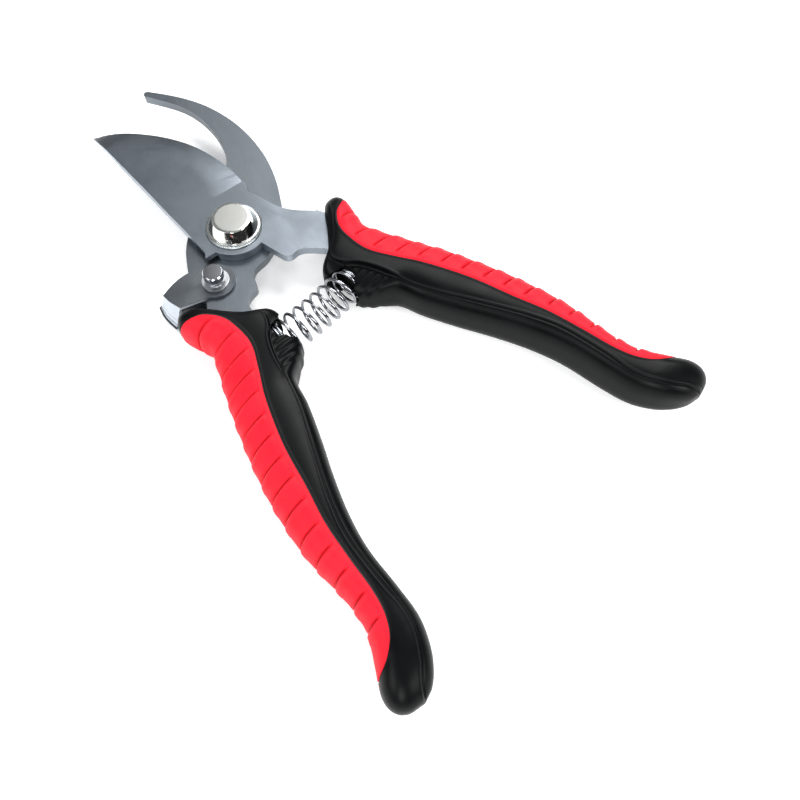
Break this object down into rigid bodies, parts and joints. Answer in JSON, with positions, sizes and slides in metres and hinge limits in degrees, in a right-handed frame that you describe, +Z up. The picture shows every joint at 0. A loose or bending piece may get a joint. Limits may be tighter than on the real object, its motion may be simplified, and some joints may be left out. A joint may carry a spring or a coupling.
{
  "type": "pruning shears",
  "caption": "Bypass pruning shears with a hooked counter blade, a sprung pivot, a folded thumb catch and ribbed two-colour grips.",
  "frame": {"origin": "on the pivot's axis, in the plane that the lying shears rest on, at the back end of the pivot bolt", "axes": "+Y from the handles to the blades, +Z up through the pivot's head, and X across the shears, with the cutting blade's handle on +X"},
  "size_m": [0.1208, 0.2003, 0.017],
  "materials": {
    "blade_steel": "satin ground stamped steel",
    "counter_steel": "satin stamped steel",
    "catch_steel": "satin folded sheet steel",
    "bright_plate": "polished edge, satin top",
    "pin_plate": "polished",
    "zinc_steel": "zinc-plated steel",
    "spring_wire": "bright drawn wire",
    "black_plastic": "satin moulded plastic",
    "red_rubber": "matte ribbed soft-touch rubber"
  },
  "bodies": {
    "lower_handle": {"counter_blade": "counter_steel", "pivot_bolt": "bright_plate", "pivot_top_washer": "bright_plate", "pivot_back_washer": "zinc_steel", "pivot_nut": "zinc_steel", "catch_pin": "pin_plate", "catch_pin_washer": "zinc_steel", "catch_spacer": "zinc_steel", "catch_pin_ring": "zinc_steel", "spring": "spring_wire", "lower_grip_body": "black_plastic", "lower_grip_inlay": "red_rubber"},
    "upper_handle": {"cutting_blade": "blade_steel", "upper_grip_body": "black_plastic", "upper_grip_inlay": "red_rubber"},
    "thumb_catch": {"catch": "catch_steel"}
  },
  "joints": [
    {"name": "blade_pivot", "type": "hinge", "parent": "lower_handle", "child": "upper_handle", "pos_m": [0, 0, 0.0085], "axis": [0, 0, -1], "range_deg": [0, 24], "stiffness_Nm_per_rad": 0.6, "springref_deg": -14.32, "deforming": ["spring"]},
    {"name": "catch_pivot", "type": "hinge", "parent": "lower_handle", "child": "thumb_catch", "pos_m": [-0.0157, -0.0099, 0.0085], "axis": [0, 0, -1], "range_deg": [0, 60]}
  ]
}
